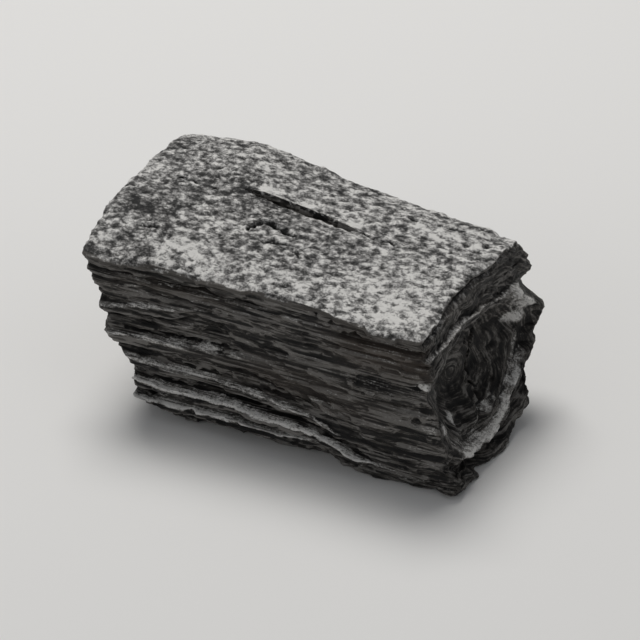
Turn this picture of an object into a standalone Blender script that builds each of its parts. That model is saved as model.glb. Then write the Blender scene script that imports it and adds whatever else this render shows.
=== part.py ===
"""A lump of lumpwood charcoal, split from a log and charred, lying on its flat side.

+X runs along the grain, +Y from the front split face to the back one, +Z up to the outer log face.
The origin is under the middle of the lump, on the surface it lies on. One solid, one piece.

The lump is a block with six worn sides. Each side is a function, built up from the driving sizes and
the named features below them. While a side is worked out, x is 0 at the right end and runs to minus
FRONT_LENGTH at the left, y is 0 at the front, and depth is counted down from the outer log face.
"""

import math

import bmesh
import bpy
from mathutils import Vector, noise

MM = 0.001

# Driving sizes, in millimetres.
FRONT_LENGTH = 94.0  # along the grain, on the top front edge
RIGHT_WIDTH = 56.0
LEFT_WIDTH = 61.0
HEIGHT = 44.0  # at the front edge
LEFT_ARCH = 3.2  # rise of the outer log face at mid width
RIGHT_ARCH = 1.6
BACK_RISE = 2.0  # how much higher the back left corner stands
LEFT_UNDERCUT = 0.34  # how fast the left break runs in under the top, per unit of depth
LEFT_BULGE = 1.75  # how far the left break stands out at mid width
RIGHT_LEAN = 0.16  # how fast the right break runs out, per unit of depth
BACK_BELLY = 1.5
BELLY_DEPTH = 34.0  # how far down the belly reaches
BACK_TURN_IN = 14.5  # how far the back face turns in at the bottom
BACK_TURN_DEPTH = 28.0
BOTTOM_WEAR = 0.25  # how much of the roughness underneath is worn flat

# Depths at which one growth layer has parted from the next. Ledges and steps lie there on every side.
PARTINGS = (4.6, 12.6, 20.8, 29.4, 34.0, 36.2, 40.6)
PLATE_EDGES = (31.2, 38.4)  # two more levels where a front plate has an edge
LEFT_LAYER_JUMP = 1.85  # how much farther one layer may reach than the next, at each end
RIGHT_LAYER_JUMP = 1.05

# Spacing of the surface's rows, columns and stations, and the height of the step at a parting.
ROW = 2.3
COLUMN = 2.1
STATION = 3.6
STEP = 0.7

# Low on the front the layers run down towards the right end: how far, between which places along the
# grain, and the depths where that begins, is at its most, and is over.
SAG = 8.0
SAG_FROM, SAG_TO = -55.0, -8.0
SAG_BEGINS, SAG_MOST, SAG_OVER = 12.0, 30.0, 44.0

CHAR_COLOUR = (0.028, 0.027, 0.026, 1.0)
CHAR_ROUGHNESS = 0.62

# Fibre bundles on the long sides: height, length and width of one bundle, and a seed.
TOP_FIBRES = ((0.55, 40.0, 9.0, 1.0),)
BOTTOM_FIBRES = ((1.5, 30.0, 5.0, 6.0),)
FRONT_FIBRES = ((0.75, 26.0, 3.2, 11.0), (0.45, 14.0, 1.9, 12.0))
BACK_FIBRES = ((0.8, 26.0, 3.2, 21.0), (0.5, 13.0, 2.0, 22.0))

# Roughness without a direction: height, size of one lump, and a seed.
TOP_LUMPS = (0.35, 13.0, 2.0)
BOTTOM_LUMPS = (0.9, 11.0, 7.0)
LEFT_LUMPS = (0.7, 6.0, 31.0)
RIGHT_LUMPS = (0.6, 5.0, 41.0)

# Single swells and chips: how far each moves its side towards +X, +Y or +Z, then its middle and half
# size along the first of the side's two ways, and along the second.
TOP_SWELLS = {
    "right_back_chip": (-1.3, -3.0, 5.0, 51.0, 7.0),
    "left_front_chip": (-0.9, -88.0, 7.0, 3.0, 6.0),
    "left_back_rise": (2.3, -76.0, 28.0, 60.0, 24.0),
}
BOTTOM_SWELLS = {
    "front_notch": (2.2, -33.0, 15.0, 1.0, 10.0),
    "long_hollow": (3.0, -46.0, 30.0, 24.0, 9.0),
    "lifted_corner": (2.8, -94.0, 30.0, 4.0, 20.0),
}
FRONT_SWELLS = {
    "left_hollow": (2.2, -62.0, 30.0, 22.0, 60.0),
    "right_bow": (-1.5, -12.0, 20.0, 22.0, 60.0),
    "knot_pit": (2.0, -59.0, 6.0, 16.0, 3.4),
}
BACK_SWELLS = {"left_bow": (1.8, -70.0, 26.0, 22.0, 60.0)}
LEFT_SWELLS = {
    "spall": (3.6, 37.0, 15.0, 18.0, 9.0),
    "short_splinter": (6.0, 0.0, 14.0, 44.0, 6.0),
}
RIGHT_SWELLS = {
    "tongue": (2.6, 25.5, 4.8, 32.0, 4.0),
    "back_knob": (2.2, 51.0, 5.5, 16.5, 5.5),
    "front_chip": (-2.4, 2.0, 6.0, 17.0, 5.0),
}

# Ledges along the split faces: depth of the top and foot of each, before the layers sag, how far it
# stands out (in, where negative), how soft its edges are, and how far from the right end it begins and
# is at its full size.
FRONT_LEDGES = {
    "drawn_in_layer": (2.4, 60.0, -1.0, 1.9, -20.0, -19.0),
    "second_layer": (4.8, 8.0, 0.9, 0.5, -20.0, -19.0),
    "upper_ledge": (13.0, 16.0, 1.5, 0.5, 60.0, 74.0),
    "middle_ledge": (20.8, 25.0, 1.7, 0.5, 40.0, 60.0),
    "drawn_in_body": (25.0, 31.0, -1.5, 2.0, 25.0, 50.0),
    "upper_plate": (29.4, 31.2, 1.9, 0.4, 18.0, 34.0),
    "upper_gap": (31.2, 34.0, -0.9, 0.4, 12.0, 24.0),
    "middle_plate": (34.0, 36.2, 2.9, 0.4, 8.0, 20.0),
    "middle_gap": (36.2, 38.4, -0.9, 0.4, 10.0, 24.0),
    "lower_plate": (38.4, 40.6, 3.1, 0.4, 22.0, 40.0),
    "drawn_in_foot": (40.6, 60.0, -0.8, 0.4, 8.0, 30.0),
}
BACK_LEDGES = {
    "upper_step": (12.9, 60.0, -3.4, 0.5, 30.0, 46.0),
    "lower_step": (21.0, 60.0, 2.2, 0.6, 14.0, 52.0),
    "long_groove": (25.0, 27.2, -2.2, 0.6, 4.0, 46.0),
}
BROKEN_CORNER = 4.5  # how much is broken off the back's right end, low down

# The hollow in the right end, under a thin roof. Its rims curve round its back and bottom: the height,
# the middle and the half width of each, on the same scale as its wall.
ROOF_SINK = 2.0
ROOF_LIP = 0.9
HOLLOW_MIDDLE = (25.0, 22.0)  # y and depth
HOLLOW_HALF = (31.0, 17.5)
HOLLOW_SINK = 8.5
HOLLOW_WALL = (0.3, 0.95)  # where its wall begins and ends, where 1 is its edge
HOLLOW_RIMS = {"inner_rim": (2.3, 0.9, 0.14), "groove": (-2.2, 1.13, 0.14), "outer_rim": (2.2, 1.36, 0.2)}

# Cracks: where each starts and ends, the way it runs in, its width and its depth.
DOWN, UP = (0, 0, -1), (0, 0, 1)
BACKWARD, FORWARD = (0, 1, 0), (0, -1, 0)
RIGHTWARD, LEFTWARD = (1, 0, 0), (-1, 0, 0)
CRACKS = {
    "top_slit": ((-67.0, 39.4, 46.5), (-35.2, 35.0, 46.0), DOWN, 1.3, 7.0),
    "top_nick": ((-56.0, 26.0, 46.6), (-47.5, 22.6, 46.4), DOWN, 0.9, 2.4),
    "front_parting": ((-80.0, 1.0, 23.8), (-52.0, 1.4, 25.2), BACKWARD, 0.8, 5.0),
    "front_low_parting": ((-72.0, 0.6, 11.3), (-40.0, 0.6, 10.6), BACKWARD, 0.9, 5.0),
    "back_parting": ((-78.0, 58.0, 27.0), (-30.0, 58.0, 25.5), FORWARD, 1.1, 8.0),
    "left_check_front": ((-95.0, 14.0, 43.5), (-87.0, 11.0, 12.0), RIGHTWARD, 1.0, 8.0),
    "left_check_middle": ((-95.0, 31.0, 43.5), (-87.0, 28.0, 9.0), RIGHTWARD, 1.0, 8.0),
    "left_check_back": ((-95.0, 47.0, 43.5), (-87.0, 44.0, 20.0), RIGHTWARD, 1.0, 8.0),
    "right_check": ((1.0, 39.0, 37.0), (6.0, 30.0, 8.0), LEFTWARD, 0.9, 9.0),
    "bottom_parting": ((-70.0, 18.0, 0.4), (-18.0, 15.0, 0.4), UP, 1.0, 4.0),
}
CRACK_PIECES = 10
CRACK_WANDER = 0.35  # how far a crack strays to the side, as a share of its width
CRACK_REACH = 3.0  # how far its cutter stands out of the surface


def smooth(low, high, value):
    """0 up to low, 1 from high on, and a smooth rise between."""
    share = min(1.0, max(0.0, (value - low) / (high - low)))
    return share * share * (3.0 - 2.0 * share)


def band(low, high, value, edge):
    """1 between low and high, and 0 outside, with soft edges."""
    return smooth(low - edge, low + edge, value) * (1.0 - smooth(high - edge, high + edge, value))


def mound(middle, half, value):
    """A round rise from 0 to 1 at the middle and back to 0."""
    share = (value - middle) / half
    return (1.0 - share * share) ** 2 if abs(share) < 1.0 else 0.0


def fibres(along, across, bundles):
    """Ridges drawn out along the grain."""
    total = 0.0
    for height, long, wide, seed in bundles:
        total += height * noise.noise(Vector((along / long, across / wide, seed * 4.7)))
    return total


def lumps(x, y, z, kind):
    height, size, seed = kind
    offset = Vector((seed * 7.31, seed * 3.17, seed * 5.53))
    return height * noise.noise(Vector((x, y, z)) / size + offset)


def swells(one, two, kinds):
    total = 0.0
    for height, middle_one, half_one, middle_two, half_two in kinds.values():
        total += height * mound(middle_one, half_one, one) * mound(middle_two, half_two, two)
    return total


def ledges(x, depth, kinds):
    total = 0.0
    for top, foot, out, edge, begins, full in kinds.values():
        total += out * band(top, foot, depth, edge) * smooth(begins, full, -x)
    return total


def sag(x, depth):
    """How far the layers low on the front have run down, at this place along the grain."""
    low_down = smooth(SAG_BEGINS, SAG_MOST, depth) * (1.0 - smooth(SAG_MOST, SAG_OVER, depth))
    return SAG * smooth(SAG_FROM, SAG_TO, x) * low_down


def layer_ends(depth, across, seed, jump):
    """How far each growth layer stands out at an end: every layer broke at its own length."""
    total = 0.0
    for number, parting in enumerate(PARTINGS):
        reach = noise.noise(Vector((number * 3.7, across / 17.0, seed * 2.3)))
        total += jump * reach * smooth(parting - 0.3, parting + 0.3, depth)
    return total


def width_at(x):
    return RIGHT_WIDTH + (LEFT_WIDTH - RIGHT_WIDTH) * smooth(0.0, FRONT_LENGTH, -x)


def top_height(x, y):
    """The outer log face: arched across the grain, and higher at the back left."""
    left = -x / FRONT_LENGTH
    across = y / width_at(x)
    arch = (RIGHT_ARCH + (LEFT_ARCH - RIGHT_ARCH) * left) * 4.0 * across * (1.0 - across)
    worn = fibres(x, y, TOP_FIBRES) + lumps(x, y, 0.0, TOP_LUMPS) + swells(x, y, TOP_SWELLS)
    return HEIGHT + arch + BACK_RISE * left * across + worn


def bottom_height(x, y):
    """The side it lies on: worn flat where it touches, with hollows along the grain between."""
    worn = fibres(x, y, BOTTOM_FIBRES) + lumps(x, y, 0.0, BOTTOM_LUMPS) + swells(x, y, BOTTOM_SWELLS)
    return max(0.0, worn - BOTTOM_WEAR)


def front_face(x, depth, level):
    """The front split face: the outer layers' edge, a drawn-in body, and three thin plates low down."""
    worn = fibres(x, depth, FRONT_FIBRES) + swells(x, depth, FRONT_SWELLS)
    return worn - ledges(x, level, FRONT_LEDGES)


def back_face(x, depth):
    """The back split face: torn in long steps, and turned in towards the bottom."""
    belly = BACK_BELLY * math.sin(math.pi * min(depth, BELLY_DEPTH) / BELLY_DEPTH)
    turn_in = BACK_TURN_IN * smooth(BACK_TURN_DEPTH, HEIGHT + 3.0, depth)
    broken_corner = BROKEN_CORNER * smooth(-22.0, -4.0, x) * smooth(20.0, 30.0, depth)
    worn = fibres(x, depth, BACK_FIBRES) + swells(x, depth, BACK_SWELLS) + ledges(x, depth, BACK_LEDGES)
    return width_at(x) + belly - turn_in - broken_corner + worn


def left_end(y, depth, level):
    """The left break: it bulges at mid width and runs in under the top, layer by layer."""
    across = y / LEFT_WIDTH
    bulge = LEFT_BULGE * 4.0 * across * (1.0 - across)
    undercut = LEFT_UNDERCUT * depth + 2.6 * smooth(28.9, 29.9, depth)
    worn = lumps(0.0, y, depth, LEFT_LUMPS) + swells(y, depth, LEFT_SWELLS)
    return -FRONT_LENGTH - bulge + undercut + worn + layer_ends(level, y, 1.0, LEFT_LAYER_JUMP)


def right_end(y, depth, level):
    """The right break: a thin roof, a hollow under it, and curved rims round the hollow's back and bottom."""
    roof = ROOF_LIP * band(5.2, 7.2, depth, 0.4) - ROOF_SINK * band(1.2, 4.9, depth, 0.5)
    side = (y - HOLLOW_MIDDLE[0]) / HOLLOW_HALF[0]
    down = (depth - HOLLOW_MIDDLE[1]) / HOLLOW_HALF[1]
    share = math.hypot(side, down)
    hollow = HOLLOW_SINK * (1.0 - smooth(*HOLLOW_WALL, share)) * smooth(4.8, 9.5, depth)
    towards_back_and_bottom = smooth(-0.35, 0.45, (0.75 * side + 0.85 * down) / max(share, 0.1))
    rims = 0.0
    for height, middle, half in HOLLOW_RIMS.values():
        rims += height * mound(middle, half, share) * towards_back_and_bottom
    worn = lumps(0.0, y, depth, RIGHT_LUMPS) + swells(y, depth, RIGHT_SWELLS)
    return RIGHT_LEAN * depth + roof - hollow + rims + worn + layer_ends(level, y, 5.0, RIGHT_LAYER_JUMP)


def place(along, across, down):
    """A point of the lump, from its shares of the length, the width and the height."""
    level = down * HEIGHT
    depth = level + sag(FRONT_LENGTH * (along - 1.0), level) * (1.0 - across)
    left = left_end(across * LEFT_WIDTH, depth, level)
    right = right_end(across * RIGHT_WIDTH, depth, level)
    x = left + (right - left) * along
    front, back = front_face(x, depth, level), back_face(x, depth)
    y = front + (back - front) * across
    top, bottom = top_height(x, y), bottom_height(x, y)
    return Vector((x, y, top + (bottom - top) * depth / HEIGHT))


def even_levels(length, spacing):
    count = math.ceil(length / spacing)
    return [number / count for number in range(count + 1)]


def layer_levels():
    """Levels from the top down, with a pair at each parting and plate edge and even rows between."""
    edges = [0.0]
    for parting in sorted(PARTINGS + PLATE_EDGES):
        edges += [parting - STEP / 2, parting + STEP / 2]
    edges.append(HEIGHT)
    levels = [0.0]
    for low, high in zip(edges, edges[1:]):
        levels += [(low + (high - low) * share) / HEIGHT for share in even_levels(high - low, ROW)[1:]]
    return levels


def block_shell(bm, stations, columns, rows):
    """A closed six-sided shell of quads on the given levels, each point put where place() says."""
    last = (len(stations) - 1, len(columns) - 1, len(rows) - 1)
    points = {}

    def corner(*key):
        if key not in points:
            points[key] = bm.verts.new(place(stations[key[0]], columns[key[1]], rows[key[2]]) * MM)
        return points[key]

    for axis in range(3):
        one, two = [other for other in range(3) if other != axis]
        for end in (0, last[axis]):
            for i in range(last[one]):
                for j in range(last[two]):
                    corners = []
                    for step_one, step_two in ((0, 0), (1, 0), (1, 1), (0, 1)):
                        key = [0, 0, 0]
                        key[axis], key[one], key[two] = end, i + step_one, j + step_two
                        corners.append(corner(*key))
                    bm.faces.new(corners)
    bmesh.ops.recalc_face_normals(bm, faces=bm.faces)
    bmesh.ops.triangulate(bm, faces=bm.faces)


def add_object(name, bm):
    mesh = bpy.data.meshes.new(name)
    bm.to_mesh(mesh)
    bm.free()
    obj = bpy.data.objects.new(name, mesh)
    bpy.context.scene.collection.objects.link(obj)
    return obj


def crack_cutter(name, start, end, inward, wide, deep):
    """A wedge from start to end: lens shaped at the surface, and closing to a line inside."""
    start, end, inward = Vector(start) * MM, Vector(end) * MM, Vector(inward)
    side = (end - start).cross(inward).normalized()
    outward = -inward * CRACK_REACH * MM
    bm = bmesh.new()
    rings = []
    for number in range(CRACK_PIECES + 1):
        share = number / CRACK_PIECES
        opening = 0.12 + 0.88 * math.sin(math.pi * share)
        wander = CRACK_WANDER * wide * math.sin(9.0 * share + len(name))
        centre = start.lerp(end, share) + side * wander * MM
        half = side * wide * opening * MM / 2
        tip = centre + inward * deep * (0.3 + 0.7 * opening) * MM
        rings.append([bm.verts.new(point) for point in (centre + outward - half, centre + outward + half, tip)])
    for first, second in zip(rings, rings[1:]):
        for k in range(3):
            bm.faces.new((first[k], first[(k + 1) % 3], second[(k + 1) % 3], second[k]))
    bm.faces.new(rings[0])
    bm.faces.new(rings[-1])
    bmesh.ops.recalc_face_normals(bm, faces=bm.faces)
    bmesh.ops.triangulate(bm, faces=bm.faces)
    cutter = add_object(name, bm)
    cutter.hide_render = True
    cutter.display_type = "WIRE"
    return cutter


def cut_cracks(lump):
    """Cuts each crack out of the lump, and returns the cutters."""
    cutters = []
    for name, crack in CRACKS.items():
        cutter = crack_cutter(name, *crack)
        cut = lump.modifiers.new(name, "BOOLEAN")
        cut.operation = "DIFFERENCE"
        cut.solver = "EXACT"
        cut.object = cutter
        cutters.append(cutter)
    return cutters


def char_material():
    material = bpy.data.materials.new("char")
    material.use_nodes = True
    shader = material.node_tree.nodes["Principled BSDF"]
    shader.inputs["Base Color"].default_value = CHAR_COLOUR
    shader.inputs["Roughness"].default_value = CHAR_ROUGHNESS
    shader.inputs["Metallic"].default_value = 0.0
    return material


def centre_on_footprint(lump, cutters):
    """Moves the lump and its cutters so that the origin is under the lump's middle, on its lowest face."""
    points = [vertex.co for vertex in lump.data.vertices]
    lows = [min(point[axis] for point in points) for axis in range(3)]
    highs = [max(point[axis] for point in points) for axis in range(3)]
    shift = Vector(((lows[0] + highs[0]) / 2, (lows[1] + highs[1]) / 2, lows[2]))
    for obj in [lump] + cutters:
        for vertex in obj.data.vertices:
            vertex.co -= shift


def main():
    for obj in list(bpy.data.objects):
        bpy.data.objects.remove(obj)
    bm = bmesh.new()
    block_shell(
        bm, even_levels(FRONT_LENGTH, STATION), even_levels(RIGHT_WIDTH, COLUMN), layer_levels()
    )
    lump = add_object("charcoal_lump", bm)
    lump.data.materials.append(char_material())
    centre_on_footprint(lump, cut_cracks(lump))


main()
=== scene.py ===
# A lump of lumpwood charcoal, split from a log: the outer log face on top, two split faces, two broken ends.
# +X runs along the grain, +Y to the back, +Z up. Lengths are in millimetres until a mesh is made.

import math

import bpy
import numpy as np
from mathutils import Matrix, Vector, noise


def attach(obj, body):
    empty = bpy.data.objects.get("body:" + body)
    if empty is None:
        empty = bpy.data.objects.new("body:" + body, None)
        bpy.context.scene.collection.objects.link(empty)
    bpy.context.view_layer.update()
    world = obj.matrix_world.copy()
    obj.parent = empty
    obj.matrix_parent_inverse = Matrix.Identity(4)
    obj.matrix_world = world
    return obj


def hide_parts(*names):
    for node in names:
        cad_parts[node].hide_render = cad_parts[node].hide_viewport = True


mm = 0.001
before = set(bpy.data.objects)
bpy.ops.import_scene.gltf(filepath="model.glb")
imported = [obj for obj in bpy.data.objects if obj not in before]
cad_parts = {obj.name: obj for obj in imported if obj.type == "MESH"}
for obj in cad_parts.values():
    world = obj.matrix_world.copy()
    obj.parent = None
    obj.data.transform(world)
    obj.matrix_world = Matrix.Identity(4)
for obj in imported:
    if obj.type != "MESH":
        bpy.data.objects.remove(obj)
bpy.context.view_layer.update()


# The block, before its wear. x is 0 at the right end and runs to minus frontLength at the left,
# y is 0 at the front, and depth is counted down from the outer log face.
block = {
    "frontLength": 94.0,  # along the grain
    "rightWidth": 56.0,
    "leftWidth": 61.0,
    "height": 44.0,
    "leftArch": 3.2,  # rise of the outer log face at mid width
    "rightArch": 1.6,
    "backRise": 2.0,
    "leftUndercut": 0.34,
    "leftFootStep": (2.6, 28.9, 29.9),  # how far the left end's foot runs in, and the depths of that step
    "leftBulge": 1.75,
    "rightLean": 0.16,
    "backBelly": 1.5,
    "bellyDepth": 34.0,
    "backTurnIn": 14.5,
    "backTurnDepths": (28.0, 47.0),
    "brokenCorner": 4.5,  # the lower right corner of the back, then where it begins and is at its most
    "cornerAlong": (-22.0, -4.0),
    "cornerDepths": (20.0, 30.0),
    "bottomWear": 0.25,
    "partings": (4.6, 12.6, 20.8, 29.4, 34.0, 36.2, 40.6),  # depths at which a growth layer parted
    "partingEdge": 0.3,
    "layerPatch": 17.0,  # how wide a layer breaks at one length
    "leftLayerJump": 1.85,
    "rightLayerJump": 1.05,
    "place": (43.04, -30.72, 0.0),  # where the right front corner lies in the shared frame
}

# Low on the front the layers run down towards the right end: how far, between which places along the
# grain, and the depths where that begins, is at its most, and is over.
sagging = {"drop": 8.0, "along": (-55.0, -8.0), "begins": 12.0, "most": 30.0, "over": 44.0}

# Height, length and width of one fibre bundle, and a seed.
bundles = {
    "top": ((0.55, 40.0, 9.0, 1.0),),
    "bottom": ((1.5, 30.0, 5.0, 6.0),),
    "front": ((0.75, 26.0, 3.2, 11.0), (0.45, 14.0, 1.9, 12.0)),
    "back": ((0.8, 26.0, 3.2, 21.0), (0.5, 13.0, 2.0, 22.0)),
}

# Height, size and seed of the roughness without a direction.
roughness = {
    "top": (0.35, 13.0, 2.0),
    "bottom": (0.9, 11.0, 7.0),
    "left": (0.7, 6.0, 31.0),
    "right": (0.6, 5.0, 41.0),
}

# Single swells and chips: how far each moves its side towards +X, +Y or +Z, then its middle and half size
# along the first of the side's two ways, and along the second.
swells = {
    "top": {
        "rightBackChip": (-1.3, -3.0, 5.0, 51.0, 7.0),
        "rightEdgeChip": (-0.9, 0.5, 2.4, 25.0, 17.0),
        "leftFrontChip": (-0.9, -88.0, 7.0, 3.0, 6.0),
        "leftBackRise": (2.3, -76.0, 28.0, 60.0, 24.0),
    },
    "bottom": {
        "frontNotch": (2.2, -33.0, 15.0, 1.0, 10.0),
        "longHollow": (3.0, -46.0, 30.0, 24.0, 9.0),
        "liftedCorner": (2.8, -94.0, 30.0, 4.0, 20.0),
    },
    "front": {
        "leftHollow": (2.2, -62.0, 30.0, 22.0, 60.0),
        "rightBow": (-1.5, -12.0, 20.0, 22.0, 60.0),
        "knotPit": (2.0, -59.0, 6.0, 16.0, 3.4),
    },
    "back": {"leftBow": (1.8, -70.0, 26.0, 22.0, 60.0)},
    "left": {"spall": (3.6, 37.0, 15.0, 18.0, 9.0), "shortSplinter": (6.0, 0.0, 14.0, 44.0, 6.0)},
    "right": {
        "tongue": (2.6, 25.5, 4.8, 32.0, 4.0),
        "backKnob": (2.2, 51.0, 5.5, 16.5, 5.5),
        "frontChip": (-2.4, 2.0, 6.0, 17.0, 5.0),
        "topEdgeChip": (-1.7, 23.0, 19.0, 0.0, 3.2),
    },
}

# Ledges: depth of the top and foot of each, how far it stands out (in, where negative), how soft its
# edges are, how far from the right end it begins and is at its full size, and how steeply it rises to
# the right. On the front these depths are taken before the layers sag.
ledges = {
    "front": {
        "drawnInLayer": (2.4, 60.0, -1.0, 1.9, -20.0, -19.0, 0.0),
        "secondLayer": (4.8, 8.0, 0.9, 0.35, -20.0, -19.0, 0.0),
        "upperLedge": (13.2, 16.0, 1.5, 0.35, 60.0, 74.0, 0.16),
        "middleLedge": (21.4, 25.0, 1.7, 0.3, 40.0, 60.0, 0.06),
        "drawnInBody": (25.0, 31.0, -1.5, 2.0, 25.0, 50.0, 0.0),
        "upperPlate": (29.4, 31.2, 1.9, 0.25, 18.0, 34.0, 0.0),
        "upperGap": (31.3, 33.9, -1.6, 0.25, 12.0, 24.0, 0.0),
        "middlePlate": (34.0, 36.2, 2.9, 0.25, 8.0, 20.0, 0.0),
        "middleGap": (36.3, 38.3, -1.6, 0.25, 10.0, 24.0, 0.0),
        "lowerPlate": (38.4, 40.6, 3.1, 0.25, 22.0, 40.0, 0.0),
        "drawnInFoot": (40.7, 60.0, -1.2, 0.3, 8.0, 30.0, 0.0),
    },
    "back": {
        "upperStep": (12.9, 60.0, -3.4, 0.4, 30.0, 46.0, 0.0),
        "lowerStep": (21.0, 60.0, 2.2, 0.5, 14.0, 52.0, 0.0),
        "longGroove": (25.0, 27.2, -2.2, 0.5, 4.0, 46.0, 0.0),
    },
}
leanFrom = -80.0  # where a ledge that rises to the right has its own depth

# The hollow in the right end, under a thin roof, and the rims that curve round its back and bottom.
hollow = {
    "roofSink": 1.0,  # how far the roof's end runs in, down to its lip
    "roofEnds": (46.0, 53.0),  # between these places across it comes to its end
    "roofGroove": (0.9, 0.9, 1.7, 0.3),  # under the outer face: how deep, from and to which depth, how soft
    "roofLip": (0.35, 1.0, 0.2),  # how far it stands out, its width and how soft it is
    "lipDepth": 5.9,
    "lipEdge": (-0.3, 0.2),
    "roofDrop": 3.6,  # how much deeper the lip lies at the back, and between which places it drops
    "dropAcross": (18.0, 46.0),
    "middle": (25.0, 22.0),
    "half": (31.0, 17.5),
    "sink": 8.5,
    "sinkBelowLip": (0.8, 4.5),
    "wall": (0.3, 0.93),  # where the wall rises, as shares of the way from the middle to the edge
    "innerRim": (2.0, 0.83, 0.88, 0.93, 1.0),  # height, where it rises, and where it falls
    "groove": (-2.6, 1.13, 0.13),  # height, middle and half width
    "outerRim": (2.3, 1.36, 0.2),
    "rimsLean": (0.75, 0.85),  # how much a place's way to the back, and to the bottom, counts for the rims
    "rimsTurn": (-0.35, 0.45),
}

# Unevenness over a side or an end: its height, its size along the two ways, and its seed.
unevenness = {
    "ledgeRag": (0.5, 7.0, 2.5, 55.0),  # as shares of how far a ledge stands out
    "ledgeNick": (0.6, 2.1, 1.6, 57.0),
    "rimRag": (0.05, 6.0, 6.0, 23.0),
    "pitOne": (0.6, 1.4, 1.4, 0.0),  # what bends a pit's outline along each way
    "pitTwo": (0.5, 1.4, 1.4, 5.0),
    "lineOne": (0.5, 2.6, 2.6, 91.0),  # what bends a line
    "lineTwo": (0.5, 2.6, 2.6, 95.0),
    "ledgeStreaks": (0.7, 4.5, 0.8, 63.0),  # how unevenly pale the ledges are, and the right end
    "endFlecks": (0.9, 1.7, 1.3, 77.0),
}


def smooth(low, high, value):
    share = np.clip((value - low) / (high - low), 0.0, 1.0)
    return share * share * (3.0 - 2.0 * share)


def band(low, high, value, edge):
    return smooth(low - edge, low + edge, value) * (1.0 - smooth(high - edge, high + edge, value))


def mound(middle, half, value):
    share = np.clip((value - middle) / half, -1.0, 1.0)
    return (1.0 - share * share) ** 2


# The odd factors that numbers and seeds are multiplied by only keep one noise clear of another.
def noiseAt(x, y, z, source=noise.noise):  # one value from -1 to 1 for each point
    x, y, z = np.broadcast_arrays(x, y, z)
    points = np.stack([x, y, z], axis=-1).reshape(-1, 3).tolist()
    return np.fromiter((source(point) for point in points), float, len(points)).reshape(x.shape)


def unevenAt(name, one, two, seed=0.0):
    height, sizeOne, sizeTwo, ownSeed = unevenness[name]
    return height * noiseAt(one / sizeOne, two / sizeTwo, ownSeed + seed)


def fibresAt(along, across, kinds):
    return sum(
        height * noiseAt(along / long, across / wide, seed * 4.7)
        for height, long, wide, seed in kinds
    )


def lumpsAt(x, y, z, kind):
    height, size, seed = kind
    return height * noiseAt(x / size + seed * 7.31, y / size + seed * 3.17, z / size + seed * 5.53)


def swellsAt(one, two, kinds):
    return sum(h * mound(m1, h1, one) * mound(m2, h2, two) for h, m1, h1, m2, h2 in kinds.values())


def ledgesAt(x, depth, kinds):
    return sum(
        out * band(top, foot, depth + rise * (x - leanFrom), edge) * smooth(begins, full, -x)
        for top, foot, out, edge, begins, full, rise in kinds.values()
    )


def sagAt(x, level):
    begins, most, over = sagging["begins"], sagging["most"], sagging["over"]
    lowDown = smooth(begins, most, level) * (1.0 - smooth(most, over, level))
    return sagging["drop"] * smooth(*sagging["along"], x) * lowDown


def layerEnds(depth, across, seed, jump):  # every growth layer broke at its own length
    total, edge = 0.0, block["partingEdge"]
    for number, parting in enumerate(block["partings"]):
        reach = noiseAt(number * 3.7, across / block["layerPatch"], seed * 2.3)
        total = total + jump * reach * smooth(parting - edge, parting + edge, depth)
    return total


def widthAt(x):
    right, left = block["rightWidth"], block["leftWidth"]
    return right + (left - right) * smooth(0.0, block["frontLength"], -x)


def topHeight(x, y):
    left = -x / block["frontLength"]
    across = y / widthAt(x)
    rise = block["rightArch"] + (block["leftArch"] - block["rightArch"]) * left
    arch = rise * 4.0 * across * (1.0 - across)
    worn = fibresAt(x, y, bundles["top"]) + lumpsAt(x, y, 0.0, roughness["top"])
    worn = worn + swellsAt(x, y, swells["top"])
    return block["height"] + arch + block["backRise"] * left * across + worn


def bottomHeight(x, y):
    worn = fibresAt(x, y, bundles["bottom"]) + lumpsAt(x, y, 0.0, roughness["bottom"])
    return np.maximum(0.0, worn + swellsAt(x, y, swells["bottom"]) - block["bottomWear"])


def frontFace(x, depth, level):
    worn = fibresAt(x, depth, bundles["front"]) + swellsAt(x, depth, swells["front"])
    ragged = 1.0 + unevenAt("ledgeRag", x, level)
    ragged = ragged - np.maximum(0.0, unevenAt("ledgeNick", x, level))
    return worn - ledgesAt(x, level, ledges["front"]) * ragged


def backFace(x, depth):
    bellyDepth = block["bellyDepth"]
    belly = block["backBelly"] * np.sin(math.pi * np.minimum(depth, bellyDepth) / bellyDepth)
    turnIn = block["backTurnIn"] * smooth(*block["backTurnDepths"], depth)
    corner = block["brokenCorner"] * smooth(*block["cornerAlong"], x) * smooth(*block["cornerDepths"], depth)
    worn = fibresAt(x, depth, bundles["back"]) + swellsAt(x, depth, swells["back"])
    return widthAt(x) + belly - turnIn - corner + worn + ledgesAt(x, depth, ledges["back"])


def leftEnd(y, depth, level):
    across = y / block["leftWidth"]
    bulge = block["leftBulge"] * 4.0 * across * (1.0 - across)
    step, stepFrom, stepTo = block["leftFootStep"]
    undercut = block["leftUndercut"] * depth + step * smooth(stepFrom, stepTo, depth)
    worn = lumpsAt(0.0, y, depth, roughness["left"]) + swellsAt(y, depth, swells["left"])
    return -block["frontLength"] - bulge + undercut + worn + layerEnds(level, y, 1.0, block["leftLayerJump"])


def hollowPlace(y, depth):
    # share of the way from the hollow's middle to its edge, and how far round to its back and bottom
    side = (y - hollow["middle"][0]) / hollow["half"][0]
    down = (depth - hollow["middle"][1]) / hollow["half"][1]
    share = np.hypot(side, down)
    share = share + unevenAt("rimRag", y, depth)
    toBack, toBottom = hollow["rimsLean"]
    return share, smooth(*hollow["rimsTurn"], (toBack * side + toBottom * down) / np.maximum(share, 0.1))


def lipDepthAt(y):
    return hollow["lipDepth"] + hollow["roofDrop"] * smooth(*hollow["dropAcross"], y)


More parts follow.
